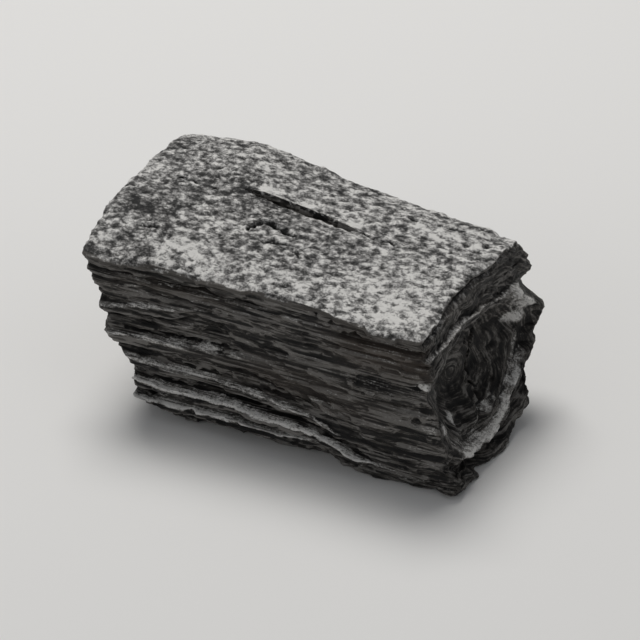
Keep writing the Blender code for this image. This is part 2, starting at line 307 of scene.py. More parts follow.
def rimAt(share):
    height, riseFrom, riseTo, fallFrom, fallTo = hollow["innerRim"]
    return smooth(riseFrom, riseTo, share) * (1.0 - smooth(fallFrom, fallTo, share)), height


def rightEnd(y, depth, level):
    lip = lipDepthAt(y)
    lipFrom, lipTo = hollow["lipEdge"]
    roof = -hollow["roofSink"] * np.clip(depth / lip, 0.0, 1.0)
    roof = roof * (1.0 - smooth(lip + lipFrom, lip + lipTo, depth))
    deep, low, high, edge = hollow["roofGroove"]
    roof = roof - deep * band(low, high, depth, edge)
    out, wide, edge = hollow["roofLip"]
    roof = (roof + out * band(lip, lip + wide, depth, edge)) * (1.0 - smooth(*hollow["roofEnds"], y))
    share, backAndBottom = hollowPlace(y, depth)
    sinkFrom, sinkTo = hollow["sinkBelowLip"]
    sink = hollow["sink"] * (1.0 - smooth(*hollow["wall"], share))
    sink = sink * smooth(lip + sinkFrom, lip + sinkTo, depth)
    rim, rimHeight = rimAt(share)
    rims = rimHeight * rim
    for height, middle, half in (hollow["groove"], hollow["outerRim"]):
        rims = rims + height * mound(middle, half, share)
    worn = lumpsAt(0.0, y, depth, roughness["right"]) + swellsAt(y, depth, swells["right"])
    form = block["rightLean"] * depth + roof - sink + rims * backAndBottom + worn
    return form + layerEnds(level, y, 5.0, block["rightLayerJump"])


# The fine surface: spacing of the mesh on each way, with ranges where it is closer and by how much, and
# the wear that char has on top of the block's form.
surface = {
    "station": (0.84, ((0.0, 10.0, 0.3), (86.0, 94.0, 0.3))),  # along the grain, from the left end
    "column": (0.66, ((0.0, 6.0, 0.5), (32.0, 38.5, 1.4))),
    "row": (0.5, ((0.0, 9.0, 0.3), (28.0, 44.0, 0.9))),
    "closerEdge": 1.5,  # how softly the mesh gets closer
    "spacingSteps": 500,
    "edgeWear": 0.42,  # how much the edges are rounded, and by what share, length and width that varies
    "wearVaries": (0.8, 6.0, 3.0),
    "edgeReach": 0.8,
    "chipDepth": 2.0,
    "chipSize": (5.5, 3.4),
    "chipRare": 0.28,
    "chipReach": 2.2,  # times as far as the wear
    "topChips": (0.35, 1.0, 5.0),  # their share along the top, and the depths where it grows to all
    "pithDepth": 74.0,  # where the log's middle lay, under the lump
    "pithAcross": 27.0,
    "ringWidth": 2.1,
    "ringBend": (0.5, 18.0, 6.0),
    "hollowRing": 21.0,  # the hollow's own lines run round it: its edge counts as this many millimetres
    "rightBlocks": 0.55,  # how far the short columns stand out at the right end, against those at the left
    "spotsRaised": 0.35,
    "lineSquash": 0.65,  # a line's width across counts by this
    "seeds": {
        "leftBlocks": 61.0,
        "rightBlocks": 71.0,
        "frontStrands": 81.0,
        "backStrands": 91.0,
        "topPits": 4.0,
        "frontPits": 13.0,
    },
}

# The cracks of the outer log face: two points, width, depth, and how high the lip behind it is raised.
topCracks = {
    "slit": ((-67.4, 39.4), (-34.4, 34.6), 1.9, 6.0, 0.9),
    "slitTail": ((-36.0, 34.6), (-20.5, 33.2), 0.6, 1.0, 0.15),
    "chevronLeft": ((-60.2, 22.6), (-56.8, 29.0), 1.3, 1.9, 0.3),
    "chevronRight": ((-58.2, 28.8), (-46.6, 25.4), 1.4, 2.1, 0.4),
    "chevronFoot": ((-55.2, 20.2), (-46.6, 22.0), 1.0, 1.2, 0.2),
    "chevronTail": ((-46.8, 20.8), (-42.0, 17.6), 1.0, 1.3, 0.2),
    "leftDash": ((-85.6, 13.8), (-78.4, 15.2), 1.1, 1.6, 0.3),
    "hairlineFront": ((-44.0, 12.4), (-16.0, 10.9), 0.45, 0.6, 0.1),
    "hairlineBack": ((-33.0, 47.5), (-12.0, 48.6), 0.45, 0.7, 0.1),
    "hairlineLeft": ((-91.0, 36.8), (-69.0, 36.2), 0.6, 0.8, 0.1),
}
topPits = {  # middle along the grain and across, half length, half width, depth
    "backRightPit": (-15.2, 49.0, 2.0, 1.4, 1.5),
    "rightPit": (-8.4, 42.6, 1.5, 1.2, 1.4),
    "edgePit": (-3.8, 44.9, 1.6, 1.2, 1.3),
    "middlePit": (-26.5, 21.0, 1.8, 1.0, 0.9),
    "frontPit": (-41.0, 6.0, 1.5, 0.9, 0.8),
}
frontPits = {  # middle and depth below the top, half length, half height, depth
    "leftNotch": (-61.2, 3.2, 2.4, 1.3, 1.4),
    "firstNotch": (-30.3, 2.2, 1.3, 1.4, 1.3),
    "secondNotch": (-25.7, 2.9, 1.2, 1.2, 1.2),
    "thirdNotch": (-18.9, 4.7, 1.8, 1.2, 1.2),
    "cornerNotch": (-3.0, 15.5, 2.6, 1.4, 1.6),
    "lowCornerNotch": (-2.0, 24.0, 2.2, 1.6, 1.6),
}

# Cracks along the split faces: start and end as x and depth, width and depth.
frontCracks = {
    "leftParting": ((-84.0, 21.0), (-50.0, 19.4), 0.8, 3.0),
    "skinParting": ((-94.0, 4.2), (-40.0, 4.6), 0.6, 1.2),
    "lowParting": ((-78.0, 32.9), (-30.0, 33.2), 0.7, 2.6),
    "footParting": ((-74.0, 37.4), (-40.0, 37.2), 0.7, 2.4),
    "rightHairline": ((-34.0, 17.0), (-4.0, 18.2), 0.45, 0.9),
    "bodyHairline": ((-52.0, 26.5), (-18.0, 27.6), 0.5, 1.2),
}
backCracks = {
    "parting": ((-78.0, 19.0), (-30.0, 20.5), 1.1, 5.0),
    "upperHairline": ((-60.0, 8.0), (-12.0, 8.8), 0.5, 1.2),
}

# Checks that run in from the ends: start and end as y and depth, width and depth.
leftCracks = {
    "frontCheck": ((14.0, 0.5), (11.0, 32.0), 0.9, 5.0),
    "middleCheck": ((31.0, 0.5), (28.0, 35.0), 0.9, 6.0),
    "backCheck": ((47.0, 0.5), (44.0, 24.0), 0.8, 5.0),
}
rightCracks = {
    "backCheck": ((39.0, 7.0), (30.0, 36.0), 0.8, 6.0),
    "middleCheck": ((22.0, 6.5), (20.0, 22.0), 0.5, 2.5),
    "frontCheck": ((9.0, 5.5), (12.0, 20.0), 0.5, 2.0),
}

cracking = {
    "wander": 0.5,
    "topWander": 0.45,
    "bendSize": 5.0,
    "fineBend": (0.5, 1.7),  # share of the wandering, and size
    "mouth": 0.7,  # under 1 the mouth is rounded
    "lipReach": 1.6,
    "sinkBefore": 0.35,  # how far the near side is sunk, by the lip's height, and how far that reaches
    "sinkReach": 2.2,
}


def crackLine(one, two, start, end, wander, seed):
    # the signed distance from a crack's wandering line, and how open it is there, from 0 to 1
    run = np.subtract(end, start)
    length = float(np.hypot(*run))
    alongOne, alongTwo = run / length
    share = ((one - start[0]) * alongOne + (two - start[1]) * alongTwo) / length
    off = (two - start[1]) * alongOne - (one - start[0]) * alongTwo
    fineShare, fineSize = cracking["fineBend"]
    off = off + wander * noiseAt(share * length / cracking["bendSize"], seed, 3.1)
    off = off + fineShare * wander * noiseAt(share * length / fineSize, seed, 8.4)
    return off, np.sqrt(np.clip(4.0 * share * (1.0 - share), 0.0, 1.0))


def groove(off, opening, wide, deep):  # a V with a slightly rounded mouth
    half = wide / 2.0 * opening + 1e-6
    return deep * opening * np.clip(1.0 - np.abs(off) / half, 0.0, 1.0) ** cracking["mouth"]


def cracksAt(one, two, kinds):
    total = 0.0
    for number, (start, end, wide, deep) in enumerate(kinds.values()):
        off, opening = crackLine(one, two, start, end, cracking["wander"], number * 5.3)
        total = total + groove(off, opening, wide, deep)
    return total


def topSkin(x, y):  # cracks, raised lips and pits of the outer log face
    total = 0.0
    for number, (start, end, wide, deep, lip) in enumerate(topCracks.values()):
        off, opening = crackLine(x, y, start, end, cracking["topWander"], number * 2.9)
        behind = off - wide / 2.0 * opening
        fadeBehind = np.exp(-np.maximum(behind, 0.0) / cracking["lipReach"])
        fadeBefore = np.exp(-np.abs(off) / cracking["sinkReach"])
        raised = lip * opening * np.where(behind > 0.0, fadeBehind, 0.0)
        sunk = cracking["sinkBefore"] * lip * opening * np.where(off < 0.0, fadeBefore, 0.0)
        total = total + raised - sunk - groove(off, opening, wide, deep)
    return total - pitsAt(x, y, topPits, surface["seeds"]["topPits"])


# Torn strands on the split faces, of three kinds: how far one stands out past the next, width and length.
strands = {
    "kinds": ((0.8, 4.2, 34.0), (0.55, 1.9, 19.0), (0.28, 0.95, 9.0)),
    "bend": 0.45,  # by a strand's width, over this many of its lengths and widths
    "bendLength": 2.2,
    "bendWidth": 3.0,
    "endStep": 0.93,  # share of a strand's length, and of its width, at which the step to the next begins
    "sideStep": 0.8,
    "sunk": 0.5,  # how far all of them lie in, by what they stand out
}


def strandsAt(x, across, seed):
    # strands that tore off at their own lengths: a step at each end, and a sharp edge along each side
    total = 0.0
    bendLength, bendWidth = strands["bendLength"], strands["bendWidth"]
    for number, (out, wide, long) in enumerate(strands["kinds"]):
        bend = noiseAt(x / (bendLength * long), across / (bendWidth * wide), seed + number)
        bent = across + strands["bend"] * wide * bend
        lane = np.floor(bent / wide)
        inLane = bent / wide - lane
        heights = []
        for side in (0.0, 1.0):
            shift = noiseAt(lane + side + 0.5, seed * 3.3 + number, 0.5, noise.cell)
            spot = x / long + 7.0 * shift
            cell = np.floor(spot)
            here = noiseAt(cell + 0.5, lane + side + 0.5, seed + 0.5, noise.cell)
            after = noiseAt(cell + 1.5, lane + side + 0.5, seed + 0.5, noise.cell)
            heights.append(here + (after - here) * smooth(strands["endStep"], 1.0, spot - cell))
        toNext = smooth(strands["sideStep"], 1.0, inLane)
        total = total + out * (heights[0] + (heights[1] - heights[0]) * toNext)
    return total - sum(kind[0] for kind in strands["kinds"]) * strands["sunk"]


def pitsAt(one, two, pits, seed):  # small ragged hollows
    total = 0.0
    raggedOne = one + unevenAt("pitOne", one, two, seed)
    raggedTwo = two + unevenAt("pitTwo", one, two, seed)
    for middleOne, middleTwo, halfOne, halfTwo, deep in pits.values():
        total = total + deep * mound(middleOne, halfOne, raggedOne) * mound(middleTwo, halfTwo, raggedTwo)
    return total


# An end breaks in short columns, flat in the rings' direction, of three kinds: how far one stands out past
# the next, width and height.
endBlocks = {
    "kinds": ((0.62, 6.5, 2.8), (0.4, 3.0, 1.5), (0.2, 1.4, 0.9)),
    "bendAcross": 0.4,  # by a column's width, and by its height, over this many widths or heights
    "bendDown": 0.5,
    "bendSize": 1.6,
    "sideStep": 0.75,
    "rowStep": 0.72,
    "sunk": 0.5,
    "topShare": (0.25, 1.0, 7.0),  # how much of it shows at the top, and the depths where it grows to all
}


def blocksAt(y, depth, seed):
    total, size = 0.0, endBlocks["bendSize"]
    for out, wide, tall in endBlocks["kinds"]:
        bendY = noiseAt(y / (size * wide), depth / (size * wide), seed)
        bendDepth = noiseAt(y / (size * wide), depth / (size * tall), seed + 4.0)
        bentY = y + endBlocks["bendAcross"] * wide * bendY
        bentDepth = depth + endBlocks["bendDown"] * tall * bendDepth
        row = np.floor(bentDepth / tall)
        shift = noiseAt(row + 0.5, seed, 0.5, noise.cell)
        spot = bentY / wide + 5.0 * shift
        cell = np.floor(spot)
        here = noiseAt(cell + 0.5, row + 0.5, seed + 0.5, noise.cell)
        after = noiseAt(cell + 1.5, row + 0.5, seed + 0.5, noise.cell)
        below = noiseAt(cell + 0.5, row + 1.5, seed + 0.5, noise.cell)
        step = here + (after - here) * smooth(endBlocks["sideStep"], 1.0, spot - cell)
        step = step + (below - here) * smooth(endBlocks["rowStep"], 1.0, bentDepth / tall - row)
        total = total + out * (step - endBlocks["sunk"])
    least, growsFrom, growsTo = endBlocks["topShare"]
    return total * (least + (1.0 - least) * smooth(growsFrom, growsTo, depth))


def levels(length, spacing, closer):  # shares of a length, closer together in some ranges
    spots = np.linspace(0.0, length, surface["spacingSteps"])
    density = 1.0 + sum(more * band(low, high, spots, surface["closerEdge"]) for low, high, more in closer)
    total = np.concatenate([[0.0], np.cumsum((density[1:] + density[:-1]) / 2.0)]) * (spots[1] - spots[0])
    count = math.ceil(total[-1] / spacing)
    return np.interp(np.linspace(0.0, total[-1], count + 1), total, spots) / length


def surfaceLattice():
    # the points on the outside of a block, as shares of its length, width and height, and its quads
    shares = (
        levels(block["frontLength"], *surface["station"]),
        levels(block["rightWidth"], *surface["column"]),
        levels(block["height"], *surface["row"]),
    )
    inside = np.zeros([len(share) for share in shares], bool)
    inside[1:-1, 1:-1, 1:-1] = True
    numbers = np.cumsum(~inside).reshape(inside.shape) - 1
    places = np.stack([share[spot] for share, spot in zip(shares, np.nonzero(~inside))], axis=-1)
    quads = []
    for axis in range(3):
        for end in (0, len(shares[axis]) - 1):
            side = np.take(numbers, end, axis=axis)
            corners = [side[:-1, :-1], side[1:, :-1], side[1:, 1:], side[:-1, 1:]]
            ring = np.stack(corners, axis=-1).reshape(-1, 4)
            outward = (end > 0) == (axis == 1)
            quads.append(ring if outward else ring[:, ::-1])
    return places, np.concatenate(quads)


# The knob's pale spots are ash with painted highlight, and the spot behind the knob is painted shade.
endSpots = {  # on the right end: how pale, the middle and half size across, and in depth
    "knob": (0.8, 46.8, 4.0, 15.6, 6.6),
    "knobTop": (2.2, 45.6, 2.6, 11.6, 2.6),
    "knobSide": (1.8, 48.8, 2.0, 15.2, 2.4),
    "knobFoot": (2.4, 46.6, 3.0, 19.4, 2.6),
    "knobBack": (-1.2, 54.0, 3.6, 15.0, 9.0),
    "innerFleck": (2.0, 15.6, 2.4, 31.6, 1.8),
    "frontFleck": (1.8, 4.0, 2.4, 26.8, 2.2),
}
# Lines on the right end: how pale, how far raised, the half width, and the way, as places across and in
# depth. Their paleness is painted highlight on the rim and the fringe, and painted shade on the outside rim
# and in the fringe gap.
endLines = {
    "rim": (1.25, 0.8, 1.45, (
        (46.4, 23.0), (44.7, 27.7), (40.2, 31.0), (33.1, 34.6), (24.8, 37.3), (15.8, 37.8), (7.0, 35.2),
    )),
    "outsideRim": (-1.0, -0.5, 1.9, (
        (50.6, 23.5), (48.6, 29.6), (43.6, 33.8), (36.0, 37.4), (26.6, 40.2), (16.0, 41.0),
    )),
    "fringe": (1.3, 0.15, 1.0, ((31.0, 32.6), (27.6, 33.5), (24.6, 33.9), (21.6, 34.6))),
    "fringeGap": (-1.8, -0.7, 0.7, ((31.0, 34.3), (26.4, 35.3), (21.0, 35.8))),
}


def lineAt(one, two, way, half):  # 1 on a bent line, down to 0 at its half width, which is more across
    one = one + unevenAt("lineOne", one, two)
    two = two + unevenAt("lineTwo", one, two)
    nearest = np.full(np.shape(one), 1.0e3)
    for start, end in zip(way[:-1], way[1:]):
        run = np.subtract(end, start)
        share = np.clip(((one - start[0]) * run[0] + (two - start[1]) * run[1]) / run.dot(run), 0.0, 1.0)
        offOne, offTwo = one - start[0] - share * run[0], two - start[1] - share * run[1]
        nearest = np.minimum(nearest, np.hypot(surface["lineSquash"] * offOne, offTwo))
    return mound(0.0, half, nearest)


def sagged(along, across, level):  # depth, where the layers of the front run down to the right
    return level + sagAt(block["frontLength"] * (along - 1.0), level) * (1.0 - across)


def lumpPoints(places):
    along, across, down = places.T
    level = down * block["height"]
    depth = sagged(along, across, level)
    yLeft, yRight = across * block["leftWidth"], across * block["rightWidth"]
    seeds = surface["seeds"]

    left = leftEnd(yLeft, depth, level) + cracksAt(yLeft, depth, leftCracks)
    left = left + blocksAt(yLeft, level, seeds["leftBlocks"])
    right = rightEnd(yRight, depth, level) - cracksAt(yRight, depth, rightCracks)
    right = right - surface["rightBlocks"] * blocksAt(yRight, level, seeds["rightBlocks"])
    for _, raised, half, way in endLines.values():
        right = right + raised * lineAt(yRight, depth, way, half)
    right = right + surface["spotsRaised"] * np.maximum(0.0, swellsAt(yRight, depth, endSpots))
    x = left + (right - left) * along
    front = frontFace(x, depth, level) + cracksAt(x, level, frontCracks)
    front = front - strandsAt(x, level, seeds["frontStrands"])
    front = front + pitsAt(x, depth, frontPits, seeds["frontPits"])
    back = backFace(x, depth) - cracksAt(x, depth, backCracks) + strandsAt(x, depth, seeds["backStrands"])
    y = front + (back - front) * across
    top = topHeight(x, y) + topSkin(x, y)
    bottom = bottomHeight(x, y)
    z = top + (bottom - top) * depth / block["height"]

    # worn and chipped edges: each side draws in where it nears another
    toEdge = {
        "x": np.minimum(along, 1.0 - along) * block["frontLength"],
        "y": np.minimum(across, 1.0 - across) * block["rightWidth"],
        "z": np.minimum(down, 1.0 - down) * block["height"],
    }
    varies, long, wide = surface["wearVaries"]
    wear = surface["edgeWear"] * (1.0 + varies * noiseAt(x / long, y / wide, z / wide))
    long, wide = surface["chipSize"]
    chips = np.maximum(0.0, noiseAt(x / long, y / wide, z / wide) - surface["chipRare"])
    chips = chips * surface["chipDepth"]
    least, growsFrom, growsTo = surface["topChips"]
    chips = chips * (least + (1.0 - least) * smooth(growsFrom, growsTo, level))
    reach = surface["edgeReach"]
    near = {way: np.exp(-distance / reach) for way, distance in toEdge.items()}
    nearChip = {way: np.exp(-distance / (surface["chipReach"] * reach)) for way, distance in toEdge.items()}
    draw = {}
    for way, others in (("x", "yz"), ("y", "xz"), ("z", "xy")):
        draw[way] = sum(wear * near[other] + chips * nearChip[other] for other in others)
    x = x - (2.0 * along - 1.0) * draw["x"]
    y = y - (2.0 * across - 1.0) * draw["y"]
    z = z + (2.0 * down - 1.0) * draw["z"]
    return np.stack([x, y, z], axis=-1)


def normalsOf(points, quads):
    a, b, c, d = (points[quads[:, corner]] for corner in range(4))
    faces = np.cross(c - a, d - b)
    normals = np.zeros_like(points)
    for corner in range(4):
        for way in range(3):
            normals[:, way] += np.bincount(quads[:, corner], faces[:, way], len(points))
    return normals / np.maximum(np.linalg.norm(normals, axis=1, keepdims=True), 1e-12)


def averaged(values, quads, rounds):  # each point's value and its neighbours', averaged some rounds
    one = quads.reshape(-1)
    two = np.roll(quads, -1, axis=1).reshape(-1)
    count = np.bincount(one, minlength=len(values)) + np.bincount(two, minlength=len(values))
    flat = values.reshape(len(values), -1)
    for _ in range(rounds):
        total = np.stack(
            [
                np.bincount(one, flat[two, way], len(values)) + np.bincount(two, flat[one, way], len(values))
                for way in range(flat.shape[1])
            ],
            axis=1,
        )
        flat = 0.5 * flat + 0.5 * total / count[:, None]
    return flat.reshape(values.shape)


grit = {
    "grain": 2.4,  # size of the outer face's grains
    "grainHeight": 0.4,
    "grainBend": 0.35,
    "grainSquash": 0.8,
    "grainGap": 1.6,  # the higher, the narrower the gaps
    "fineGrain": 0.9,
    "fineHeight": 0.16,
    "pit": 2.6,
    "pitSquash": 0.7,
    "pitTall": 2.0,
    "pitRare": 0.3,
    "pitDepth": 1.1,
    "gritShares": (0.2, 0.8, 0.3),  # of grains and pits everywhere, more on the outer face, and on the ends
    "fibre": (0.24, 13.0, 0.95),  # height, length and width
    "fineFibre": (0.14, 7.0, 0.62),
    "ringHeight": 0.42,
    "ringShape": (0.8, 0.2),  # shares of a ring's width over which it rises and falls
    "ringShares": (0.7, 0.8),  # along the grain, and on the ends
}


def grainsAt(x, y, z):  # rounded grains with a gap between one and the next, from 0 to 1
    points = np.stack(np.broadcast_arrays(x, y, z), axis=-1).reshape(-1, 3).tolist()
    distances = np.array([noise.voronoi(point)[0][:2] for point in points])
    return np.clip(grit["grainGap"] * (distances[:, 1] - distances[:, 0]), 0.0, 1.0)


def ringsAt(points, level, onRight):  # growth rings, and on the right end the lines round its hollow
    x, y, z = points.T
    ring = np.hypot(y - surface["pithAcross"], z - (block["height"] - surface["pithDepth"]))
    share, _ = hollowPlace(y, level)
    ring = ring + (surface["hollowRing"] * share - ring) * onRight
    bend, long, wide = surface["ringBend"]
    return ring + bend * noiseAt(x / long, y / wide, z / wide)


def fineRelief(points, ring, topness, endness):
    x, y, z = points.T
    longWays = (1.0 - topness) * (1.0 - endness)
    rises, falls = grit["ringShape"]
    ringShare = np.mod(ring / surface["ringWidth"], 1.0)
    ringStep = np.minimum(ringShare / rises, (1.0 - ringShare) / falls) - 0.5

    height, long, wide = grit["fibre"]
    strandRelief = height * noiseAt(x / long, y / wide, z / wide)
    height, long, wide = grit["fineFibre"]
    strandRelief = strandRelief + height * (1.0 - 2.0 * np.abs(noiseAt(x / long, y / wide, z / wide + 40.0)))
    strandRelief = strandRelief * longWays

    size, fineSize = grit["grain"], grit["fineGrain"]
    bent = grit["grainBend"] * noiseAt(x / size, y / size, z / size + 9.0)
    grain = grainsAt(x / size + bent, y / (grit["grainSquash"] * size) - bent, z / size)
    fine = noiseAt(x / fineSize, y / fineSize, z / fineSize + 17.0)
    pitWide = grit["pitSquash"] * grit["pit"]
    pits = noiseAt(x / grit["pit"], y / pitWide, z / grit["pitTall"] + 31.0)
    pits = np.maximum(0.0, pits - grit["pitRare"])
    gritRelief = grit["grainHeight"] * (grain - 0.5) + grit["fineHeight"] * fine - grit["pitDepth"] * pits

    everywhere, onTop, onEnds = grit["gritShares"]
    relief = strandRelief + gritRelief * (everywhere + onTop * topness + onEnds * endness)
    alongGrain, onEnds = grit["ringShares"]
    relief = relief + grit["ringHeight"] * ringStep * (alongGrain * longWays + onEnds * endness)
    return relief, grain


def addMesh(name, points, faces, material):
    mesh = bpy.data.meshes.new(name)
    mesh.vertices.add(len(points))
    mesh.vertices.foreach_set("co", np.ascontiguousarray(points, np.float32).reshape(-1))
    mesh.loops.add(faces.size)
    mesh.loops.foreach_set("vertex_index", np.ascontiguousarray(faces, np.int32).reshape(-1))
    mesh.polygons.add(len(faces))
    mesh.polygons.foreach_set("loop_start", np.arange(0, faces.size, faces.shape[1], dtype=np.int32))
    mesh.update(calc_edges=True)
    mesh.validate()
    mesh.materials.append(material)
    piece = bpy.data.objects.new(name, mesh)
    bpy.context.scene.collection.objects.link(piece)
    return piece


def addValues(mesh, name, values):
    attribute = mesh.attributes.new(name, "FLOAT", "POINT")
    attribute.data.foreach_set("value", np.ascontiguousarray(values, np.float32))


class Wire:
    # a socket that Python's operators work on; each operation adds its Math node
    def __init__(self, tree, socket):
        self.tree = tree
        self.socket = socket

    def node(self, kind, settings=None, inputs=None, output=0):
        made = self.tree.nodes.new(kind)
        for setting, value in (settings or {}).items():
            if setting == "stops":
                ramp = made.color_ramp
                while len(ramp.elements) < len(value):
                    ramp.elements.new(0.5)
                for element, (position, colour) in zip(ramp.elements, value):
                    element.position = position
                    element.color = colour
            else:
                setattr(made, setting, value)
        for socket, value in (inputs or {}).items():
            if isinstance(value, Wire):
                self.tree.links.new(value.socket, made.inputs[socket])
            else:
                made.inputs[socket].default_value = value
        return Wire(self.tree, made.outputs[output])

    def maths(self, operation, *values):
        return self.node("ShaderNodeMath", {"operation": operation}, dict(enumerate(values)))

    def __add__(self, other):
        return self.maths("ADD", self, other)

    def __sub__(self, other):
        return self.maths("SUBTRACT", self, other)

    def __rsub__(self, other):
        return self.maths("SUBTRACT", other, self)

    def __mul__(self, other):
        return self.maths("MULTIPLY", self, other)

    def clamped(self):
        return self.node("ShaderNodeClamp", inputs={0: self})

    def between(self, low, high):  # 0 up to low, 1 from high on
        settings = {"interpolation_type": "SMOOTHSTEP"}
        return self.node("ShaderNodeMapRange", settings, {0: self, 1: low, 2: high, 3: 0.0, 4: 1.0})

    def mixed(self, share, other):  # this colour, and the other by its share
        inputs = {0: share, 6: self, 7: other}
        return self.node("ShaderNodeMix", {"data_type": "RGBA"}, inputs, 2)

    __radd__ = __add__
    __rmul__ = __mul__


# Where the outer face has more of its pale bloom, or less: how much, then the middle and half size along
# the grain, and across it.
bloomSpots = {
    "frontBand": (0.15, -42.0, 52.0, 8.0, 9.0),
    "leftFrontPatch": (0.16, -70.0, 10.0, 8.6, 6.0),
    "leftFrontFleck": (0.3, -73.2, 4.2, 10.4, 2.4),
    "leftFrontDot": (0.28, -67.0, 2.8, 9.2, 1.8),
    "rightFront": (0.18, -14.0, 26.0, 14.0, 22.0),
    "rightWhole": (0.08, -14.0, 34.0, 28.0, 40.0),
    "rightFrontCorner": (0.16, -12.6, 13.0, 5.7, 8.0),
    "rightBackPatch": (0.18, -17.0, 15.0, 46.0, 9.0),
    "rightBackCluster": (0.2, -21.5, 6.0, 46.8, 3.6),
    "cornerStreak": (0.5, -3.4, 4.4, 52.6, 1.9),
    "rightEdge": (-0.6, -1.2, 2.0, 24.0, 18.0),
    "backLeftPatch": (0.12, -70.0, 12.0, 55.0, 7.0),
    "behindSlit": (0.14, -50.0, 22.0, 43.6, 6.0),
    "slitFleckLeft": (0.8, -62.6, 5.0, 41.2, 2.8),
    "slitFleckMiddle": (0.7, -50.6, 3.4, 39.8, 2.6),
    "slitFleckRight": (1.0, -37.4, 3.6, 37.5, 2.5),
    "leftMiddle": (-0.14, -84.0, 17.0, 22.0, 17.0),
    "leftOfSlit": (-0.12, -68.0, 13.0, 36.0, 12.0),
    "middle": (-0.08, -33.0, 16.0, 22.0, 10.0),
    "whiteFleck": (1.2, -6.0, 2.0, 43.4, 1.6),
}
brownSpots = {  # on the front: how much, the middle and half size along the grain, and in depth
    "rightTop": (1.1, -10.0, 24.0, 8.0, 8.0),
    "leftTop": (0.5, -70.0, 26.0, 6.0, 5.0),
    "low": (0.5, -34.0, 34.0, 24.0, 8.0),
}
paleSpots = {  # on the front, where it is freshly chipped
    "cornerFleck": (2.4, -0.8, 3.0, 14.6, 1.5),
    "lowCornerFleck": (0.9, 2.0, 2.6, 25.5, 2.2),
    "leftStreak": (0.7, -66.0, 14.0, 8.2, 0.8),
    "leftCorner": (0.5, -84.0, 9.0, 8.6, 1.2),
    "middleStreak": (0.8, -70.0, 13.0, 22.0, 1.2),
    "plateEnd": (1.0, -73.0, 6.0, 35.2, 1.8),
}

# How pale the front's outstanding ledges are, as painted light: how much, from and to how far below their
# top, and how soft. The edge gets ash and painted highlight; above the top, the face and under the foot get
# painted shade.
ledgePaintedLight = {
    "outsOver": 1.2,  # a ledge counts where it stands out further than this
    "beginsBefore": 4.0,
    "edge": (0.64, 0.05, 0.8, 0.12),  # by how far it stands out, and never below its foot
    "above": (-0.8, -1.1, -0.1, 0.1),
    "face": (-0.35, 0.4, 0.0, 0.25),  # from below that edge, to the foot
    "under": (-0.9, 0.1, 1.2, 0.25),  # both from the foot
}

# The same for the right end, beside its spots and lines: painted highlight on the lip and the rim, painted
# shade under the top edge, on the facet, in the groove, in the hollow and outside the rims.
endPaintedLight = {
    "topEdge": (-1.6, 0.2, 1.8, 0.25),  # depths
    "facet": (-1.2, 1.8, -0.5, 0.3),  # down to the lip
    "lip": (0.9, 0.0, 0.6, 0.2),  # both from the lip
    "outside": (-0.7, 1.0, 1.8, 0.08),  # shares of the way from the hollow's middle to its edge
    "rim": 0.3,
    "groove": -0.8,
    "grooveWider": 1.6,  # times as wide as its form
    "rimsBelowLip": (1.0, 3.0),
    "hollow": -0.6,
    "hollowWall": (0.66, 0.82),
    "hollowBelowLip": (0.8, 2.0),
    "most": 1.65,
}


def shadeAt(kind, place, lowFrom=0.0, highFrom=0.0):
    share, low, high, edge = kind
    return share * band(lowFrom + low, highFrom + high, place, edge)


# painted highlight with ash along each ledge's edge, and painted shade above it, on its face and under its
# foot
def ledgePaleAndPaintedLight(x, level):
    pale = 0.0
    share, edgeFrom, edgeTo, soft = ledgePaintedLight["edge"]
    streaky = 1.0 + unevenAt("ledgeStreaks", x, level)
    for top, foot, out, _, begins, full, rise in ledges["front"].values():
        if out > ledgePaintedLight["outsOver"]:
            height = level + rise * (x - leanFrom)
            along = smooth(begins - ledgePaintedLight["beginsBefore"], full, -x)
            atEdge = band(top + edgeFrom, min(foot, top + edgeTo), height, soft)
            pale = pale + share * out * streaky * atEdge * along
            pale = pale + shadeAt(ledgePaintedLight["above"], height, top, top) * along
            pale = pale + shadeAt(ledgePaintedLight["face"], height, top + edgeTo, foot) * along
            pale = pale + shadeAt(ledgePaintedLight["under"], height, foot, foot) * along
    return pale


# painted highlight on the lip, the rims and the knob, and painted shade under the top edge, on the facet, in
# the groove and in the hollow
def endPaleAndPaintedLight(y, depth):
    lip = lipDepthAt(y)
    share, backAndBottom = hollowPlace(y, depth)
    rim, _ = rimAt(share)
    inGroove = mound(hollow["groove"][1], endPaintedLight["grooveWider"] * hollow["groove"][2], share)
    rimsFrom, rimsTo = endPaintedLight["rimsBelowLip"]
    rims = (endPaintedLight["rim"] * rim + endPaintedLight["groove"] * inGroove) * backAndBottom
    hollowFrom, hollowTo = endPaintedLight["hollowBelowLip"]
    inHollow = endPaintedLight["hollow"] * (1.0 - smooth(*endPaintedLight["hollowWall"], share))
    pale = shadeAt(endPaintedLight["lip"], depth, lip, lip) + shadeAt(endPaintedLight["facet"], depth, 0.0, lip)
    pale = pale + shadeAt(endPaintedLight["topEdge"], depth)
    pale = pale + rims * smooth(lip + rimsFrom, lip + rimsTo, depth)
    pale = pale + inHollow * smooth(lip + hollowFrom, lip + hollowTo, depth)
    pale = pale + shadeAt(endPaintedLight["outside"], share) * backAndBottom
    uneven = 1.0 + unevenAt("endFlecks", y, depth)
    for paleness, _, half, way in endLines.values():
        pale = pale + paleness * uneven * lineAt(y, depth, way, half)
    return pale + swellsAt(y, depth, endSpots) * uneven


def paleAndPaintedLightOf(x, y, level, depth, endness, frontness):
    # torn and chipped edges are paler than the rest, partly as painted highlight, and what lies under a
    # ledge or a rim gets painted shade
    pale = (ledgePaleAndPaintedLight(x, level) + swellsAt(x, depth, paleSpots)) * frontness
    return np.minimum(pale + endPaleAndPaintedLight(y, depth) * endness, endPaintedLight["most"])


